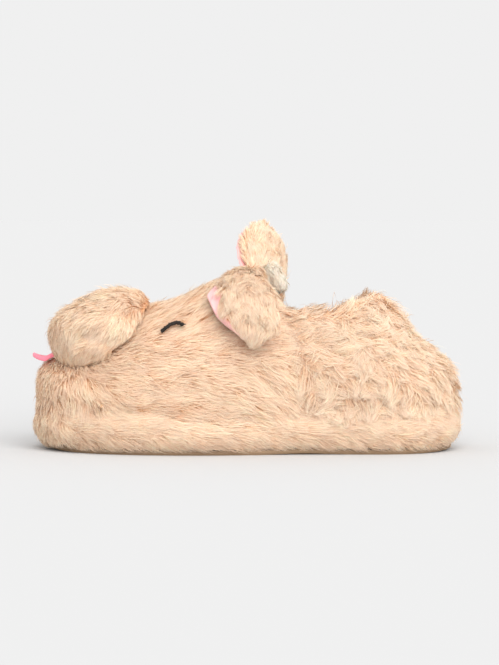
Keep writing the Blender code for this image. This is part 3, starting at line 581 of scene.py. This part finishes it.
def quarter_height(p):
    x, z = p[:, 0], p[:, 2]
    seam = part_at(x - quarter_seam_x(p), 0.006)
    crest = smooth(0.024, 0.036, x) * smooth(0.090, 0.076, x) * smooth(0.076, 0.088, z)
    back = smooth(0.100, 0.120, x) * smooth(0.050, 0.030, z)
    return (0.0068 + 0.0008 * waves(p, 0.025, 12) + 0.0022 * crest - 0.0016 * back) * (0.45 + 0.55 * seam)


def undercoat_height(p):
    return 0.7 * quarter_height(p)


def band_length(p):
    return 0.0135 - 0.005 * smooth(-0.10, -0.125, p[:, 0])


def band_height(p):
    seam = part_at(p[:, 0] - BAND_SEAM_X, 0.004)
    edge = smooth(0.0, 0.006, band_top(p) - p[:, 2])
    return 0.0040 * (0.15 + 0.85 * seam) * (0.5 + 0.5 * edge)


# Orange-brown in the roots. The random warm patches are the fur's own tone; the rest is painted shade under the ear, in
# the groove below the upper's fur, and in the partings at the band seam and the quarter seam.
def warm_patches_and_painted_shade(p):
    spots = 0.5 + 0.5 * waves(p, 0.022, 21)
    # Painted shade under the ear.
    under_ear_shade = np.exp(-(((p[:, 0] + 0.005) / 0.02) ** 2 + ((p[:, 2] - 0.078) / 0.014) ** 2))
    # Painted shade in the groove below the upper's fur and in the parting at the band's seam.
    line = np.exp(-(((band_top(p) - p[:, 2]) / 0.003) ** 2))
    line += np.exp(-(((p[:, 0] - BAND_SEAM_X) / 0.002) ** 2)) * (p[:, 2] < band_top(p))
    # Painted shade in the parting at the quarter seam.
    seam = np.exp(-(((p[:, 0] - quarter_seam_x(p)) / 0.004) ** 2)) * (p[:, 2] > band_top(p))
    return np.clip(0.10 + 0.25 * spots + 0.5 * under_ear_shade + 0.6 * line + 0.6 * seam, 0, 1)


def quarter_warmth(p):
    return np.clip(warm_patches_and_painted_shade(p) + 0.25 + 0.25 * waves(p, 0.016, 22), 0, 1)


head_tint = coat(DEEP, MIDDLE, TIP, WARM, warm_patches_and_painted_shade)
heads = grows * (1 - quarter) * (1 - is_band)
quarters = grows * quarter * (1 - is_band)
bands = grows * is_band
quarter_tint = coat(DEEP, MIDDLE, TIP, WARM, quarter_warmth)
for name, weight, count, way, length, height, tint, more in (
    ("head_fur", heads, 57000, head_way, head_length, head_height, head_tint,
     {"steps": 2, "seed": 1, "width": 0.00045, "swell": 0.12, "lock_messy": 0.2, "messy": 0.22, "clump": 0.35,
      "wild": 0.008, "spacing": 0.005}),
    ("quarter_fur", quarters, 27000, quarter_way, quarter_length, quarter_height, quarter_tint,
     {"steps": 4, "seed": 2, "curl": 0.11, "messy": 0.35, "lock_messy": 0.65, "swell": 0.5, "clump": 0.8,
      "spacing": 0.0048, "hold": 0.65, "width": 0.00045, "wild": 0.01, "rise": (0.65, 1.2)}),
    ("quarter_undercoat", quarters, 18000, quarter_way, quarter_length, undercoat_height, quarter_tint,
     {"steps": 2, "seed": 12, "messy": 0.6, "lock_messy": 0.6, "swell": 0.5, "clump": 0.2, "width": 0.0005, "wild": 0}),
    ("band_fur", bands, 56000, band_way, band_length, band_height, head_tint,
     {"steps": 2, "seed": 3, "width": 0.00045, "swell": 0.10, "lock_messy": 0.16, "messy": 0.2, "clump": 0.35,
      "wild": 0.006, "spacing": 0.005}),
):
    obj = hair(name, FUR, body, weight, count, way, length, height, tint, **more)
    piece(obj)

upper = Ground(("upper",), 0.003, 6)
air = upper.open_air("insole", "midsole")
under = np.where(behind_seam(upper.co) > 0.5, 0.0052, 0.0037)
upper.sink(under * air)
inner = 1 - air
lining_weight = smooth(0.6, 0.95, inner) * (upper.co[:, 2] > 0.032)
piece(upper.object("upper_skin", BACKING, CREAM, second=inner * (upper.co[:, 2] > 0.036)), "upper")


def lining_way(p):
    return vectors(waves(p, 0.012, 31), waves(p, 0.012, 32), waves(p, 0.012, 33))


cream_tint = coat(colour(252, 228, 202), colour(255, 241, 224), colour(255, 248, 238))
obj = hair("lining_fleece", FLEECE, upper, lining_weight, 16000, lining_way, lambda p: np.full(len(p), 0.006),
           lambda p: np.full(len(p), 0.0026), cream_tint, steps=2, spacing=0.004, messy=0.8, width=0.0008, seed=4)
piece(obj)

platform = Ground(("midsole",), 0.003, 5)
platform.sink(np.where(platform.co[:, 2] > 0.004, 0.0032, 0.0006))
piece(platform.object("midsole_skin", BACKING), "midsole")

# Muzzle

MUZZLE_CREASES = (
    ((-0.0955, 0.0962), (-0.0878, 0.0943), (-0.0787, 0.0904), (-0.0697, 0.0859), (-0.0633, 0.0820)),
    ((-0.1084, 0.0736), (-0.1007, 0.0762), (-0.0904, 0.0742), (-0.0807, 0.0710)),
)


def muzzle_crease(p):
    """1 in the middle of a crease of the muzzle's cheeks."""
    depth = sum(np.exp(-((crease_distance(p, line) / 0.0036) ** 2)) for line in MUZZLE_CREASES)
    return np.clip(depth, 0, 1) * smooth(0.010, 0.020, np.abs(p[:, 1]))


muzzle = Ground(("muzzle",), 0.0026, 14)
body_cad = tree_of(*cad("upper"))
touch = nearest(body_cad, muzzle.co)[2]
muzzle_free = smooth(0.0005, 0.003, touch)
brow = smooth(-0.085, -0.115, muzzle.co[:, 0]) * smooth(0.080, 0.095, muzzle.co[:, 2])
muzzle.sink((0.0030 + 0.0016 * brow + 0.0036 * muzzle_crease(muzzle.co)) * muzzle.spread(muzzle_free, 2))


def muzzle_height(p):
    return 0.0046 * (1 - 0.45 * muzzle_crease(p))


# Painted shade in the muzzle's creases: the roots there get more of the orange-brown, on top of the head's warm patches
# and painted shade.
def muzzle_warmth_and_crease_shade(p):
    return np.clip(warm_patches_and_painted_shade(p) + 0.7 * muzzle_crease(p), 0, 1)


def muzzle_way(p):
    x, y, z = p.T
    top = smooth(0.088, 0.100, z)
    front = smooth(-0.095, -0.118, x)
    return vectors(-0.5 - 0.8 * top + 0.2 * front, 0.5 * y / 0.04 * top, -1.0 + 0.75 * top - 0.3 * front)


obj = hair("muzzle_fur", FUR, muzzle, muzzle_free, 33000, muzzle_way, lambda p: np.full(len(p), 0.012),
           muzzle_height, coat(DEEP, MIDDLE, TIP, WARM, muzzle_warmth_and_crease_shade), seed=6, swell=0.2, steps=2,
           width=0.00045, lock_messy=0.25, clump=0.4, wild=0.01, spacing=0.005)
piece(obj)
piece(muzzle.object("muzzle_skin", BACKING), "muzzle")

# Ears

# Lines seen from the side, as x and z: where the near ear's fur ends on its pink edge, then the ears' edges
PINK_LINE = ((-0.0162, 0.1200), (-0.0185, 0.1125), (-0.0185, 0.1060), (-0.0180, 0.1013), (-0.0195, 0.0963),
             (-0.0160, 0.0913), (-0.0118, 0.0863), (-0.0080, 0.0820), (-0.0025, 0.0776), (0.0012, 0.0732))
TOE_EDGE = ((-0.0150, 0.1180), (-0.0205, 0.1125), (-0.0274, 0.1069), (-0.0268, 0.1013), (-0.0240, 0.0963),
            (-0.0212, 0.0913), (-0.0180, 0.0863), (-0.0130, 0.0820), (-0.0062, 0.0776), (-0.0010, 0.0732),
            (0.0044, 0.0695))
HEEL_EDGE = ((0.0060, 0.1180), (0.0070, 0.1107), (0.0112, 0.1044), (0.0150, 0.0982), (0.0180, 0.0890),
             (0.0172, 0.0815), (0.0148, 0.0765), (0.0110, 0.0720), (0.0065, 0.0695))
FAR_HEEL_EDGE = ((0.0110, 0.1450), (0.0145, 0.1400), (0.0183, 0.1335), (0.0223, 0.1254), (0.0229, 0.1174),
                 (0.0216, 0.1093), (0.0203, 0.1013), (0.0190, 0.0900))


def line_x(p, line):
    """x of a line at each point's height."""
    line = np.array(line)[::-1]
    return np.interp(p[:, 2], line[:, 1], line[:, 0])


def trim_ear(ear, side):
    """Draws an ear in to its edges as seen from the side."""
    co = ear.co.copy()
    if side == "outer":
        co[:, 0] += 0.85 * np.maximum(line_x(co, TOE_EDGE) - co[:, 0], 0)
        co[:, 0] -= 0.85 * np.maximum(co[:, 0] - line_x(co, HEEL_EDGE), 0)
    else:
        co[:, 0] -= 0.85 * np.maximum(co[:, 0] - line_x(co, FAR_HEEL_EDGE), 0)
    ear.update(co)


def beyond_pink_line(p):
    """Above 0 on the fur's side of the near ear's pink edge, in metres."""
    return p[:, 0] - line_x(p, PINK_LINE)


for side, count, seed in (("outer", 17000, 7), ("inner", 14000, 8)):
    ear = Ground(("ear_" + side,), 0.0016, 6)
    lining_tree = tree_of(*cad("ear_lining_" + side))
    seat = nearest(body_cad, ear.co)[2]
    free = smooth(0.0016, 0.0036, nearest(lining_tree, ear.co)[2]) * smooth(0.0005, 0.002, seat)
    root = ear.co[seat < np.quantile(seat, 0.05)].mean(0)
    tip = ear.co[np.argmax(np.linalg.norm(ear.co - root, axis=1))]
    near_root = smooth(0.5, 0.15, np.linalg.norm(ear.co - root, axis=1) / np.linalg.norm(tip - root))
    ear.sink((0.0030 - 0.0018 * near_root) * ear.spread(free, 3))
    trim_ear(ear, side)
    pink = np.zeros(len(ear.co))
    if side == "outer":
        pink = smooth(0.0025, 0.0015, beyond_pink_line(ear.co)) * (ear.normal[:, 1] < 0.3)
        free *= 1 - pink

    def ear_way(p, root=root, tip=tip):
        return unit(p - root) * 0.5 + unit(tip - root) * 0.7

    def ear_height(p, side=side):
        edge = smooth(0.001, 0.008, beyond_pink_line(p)) if side == "outer" else 1.0
        return 0.0040 * (0.45 + 0.55 * edge) * np.ones(len(p))

    orange = 0.85 if side == "outer" else 0.25
    tint = coat(DEEP, MIDDLE, TIP, WARM, lambda p, k=orange: k * (0.6 + 0.4 * waves(p, 0.014, 41)))
    obj = hair(f"ear_{side}_fur", FUR, ear, free, count, ear_way, lambda p: np.full(len(p), 0.0100),
               ear_height, tint, seed=seed, spacing=0.0034, lock_messy=0.35, steps=2, swell=0.15, clump=0.5,
               width=0.00045, wild=0.01, hold=0.55)
    piece(obj)
    piece(ear.object(f"ear_{side}_skin", BACKING, VELOUR, second=pink), "ear_" + side)
    lining = Ground(("ear_lining_" + side,), 0.0011, 3)
    trim_ear(lining, side)
    if side == "inner":
        middle = lining.co.mean(0)
        lining.update(middle + (lining.co - middle) * 0.9)
    piece(lining.object(f"ear_{side}_velour", VELOUR), "ear_lining_" + side)

# Cream roll, insole, tongue and outsole

cuff = Ground(("throat_cuff",), 0.0014, 3)
cuff.sink(np.full(len(cuff.co), 0.0012))
obj = hair("cuff_fleece", FLEECE, cuff, smooth(0.0005, 0.002, nearest(body_cad, cuff.co)[2]), 6000,
           lambda p: vectors(0.4 + 0 * p[:, 0], p[:, 1] / 0.02, -0.8), lambda p: np.full(len(p), 0.009),
           lambda p: np.full(len(p), 0.0034), cream_tint, seed=9, spacing=0.005, width=0.0006)
piece(obj)
piece(cuff.object("throat_cuff_skin", CREAM), "throat_cuff")

insole = Ground(("insole",), 0.0025, 2)
top = smooth(0.5, 0.8, insole.normal[:, 2])
obj = hair("insole_fleece", FLEECE, insole, top, 9000, lining_way, lambda p: np.full(len(p), 0.006),
           lambda p: np.full(len(p), 0.0022), cream_tint, steps=2, spacing=0.004, messy=0.8, width=0.0008, seed=10)
piece(obj)
piece(insole.object("insole_pad", CREAM), "insole")

tongue = Ground(("tongue",), 0.0008, 2)
piece(tongue.object("tongue_felt", FELT), "tongue")

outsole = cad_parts["outsole"]
for i in range(len(outsole.data.materials)):
    outsole.data.materials[i] = SOLE

# Embroidery


def stitches(name, mat, line, surface, lift, thickness, long, count, slant, seed):
    """Short satin stitches across a line on the fur, as flattened closed tubes."""
    draw = np.random.default_rng(seed)
    line = np.array(line)
    reach = np.concatenate([[0], np.cumsum(np.linalg.norm(np.diff(line, axis=0), axis=1))])
    verts, faces = [], []
    ups = [np.array(surface.find_nearest(p.tolist())[1]) for p in line]
    up = unit(np.mean(ups, axis=0))
    for k in range(count):
        at = reach[-1] * (k + 0.5) / count
        centre = np.array([np.interp(at, reach, line[:, i]) for i in range(3)])
        ahead = np.array([np.interp(min(at + 0.0015, reach[-1]), reach, line[:, i]) for i in range(3)])
        behind = np.array([np.interp(max(at - 0.0015, 0), reach, line[:, i]) for i in range(3)])
        centre = centre + up * (lift + draw.normal(scale=0.0002))
        along = unit(ahead - behind)
        across = unit(np.cross(up, along) + along * (slant + draw.normal(scale=0.15)))
        beside = unit(np.cross(up, across))
        half = long * draw.uniform(0.8, 1.15) / 2
        first = len(verts)
        rings, around = 7, 6
        for r in range(rings):
            s = -1 + 2 * r / (rings - 1)
            radius = thickness * math.sqrt(max(1 - s**4, 0.02))
            bow = up * (thickness * 1.2 * (1 - s * s))
            for q in range(around):
                a = TAU * q / around
                out = beside * math.cos(a) + up * math.sin(a) * 0.8
                verts.append(centre + across * s * half + bow + out * radius)
        for r in range(rings - 1):
            for q in range(around):
                a, b = first + r * around + q, first + r * around + (q + 1) % around
                faces.append((a, b, b + around, a + around))
        faces.append(tuple(first + q for q in reversed(range(around))))
        faces.append(tuple(first + (rings - 1) * around + q for q in range(around)))
    mesh = bpy.data.meshes.new(name)
    mesh.from_pydata([tuple(v) for v in verts], [], faces)
    mesh.materials.append(mat)
    mesh.shade_smooth()
    return piece(link(bpy.data.objects.new(name, mesh)))


def on_side(tree, x, z, sign):
    """The point of the surface that shows at x and z from one side."""
    hit = tree.ray_cast(Vector((x, sign * 0.2, z)), Vector((0, -sign, 0)))[0]
    return np.array(hit)


for side, sign in (("near", -1), ("far", 1)):
    line = [on_side(body.tree, x, z, sign) for x, z in EYE]
    stitches(f"eye_{side}", THREAD, line, body.tree, 0.0046, 0.00045, 0.0034, 34, 0.5, 51)
    nostril = []
    for dx, dy in ((-0.004, 0.0), (0.0, 0.002), (0.004, 0.001)):
        hit = muzzle.tree.ray_cast(Vector((-0.103 + dx, sign * (0.012 + dy), 0.2)), Vector((0, 0, -1)))[0]
        nostril.append(np.array(hit))
    stitches(f"nostril_{side}", GREY_THREAD, nostril, muzzle.tree, 0.0040, 0.0003, 0.0022, 10, 0.2, 52)
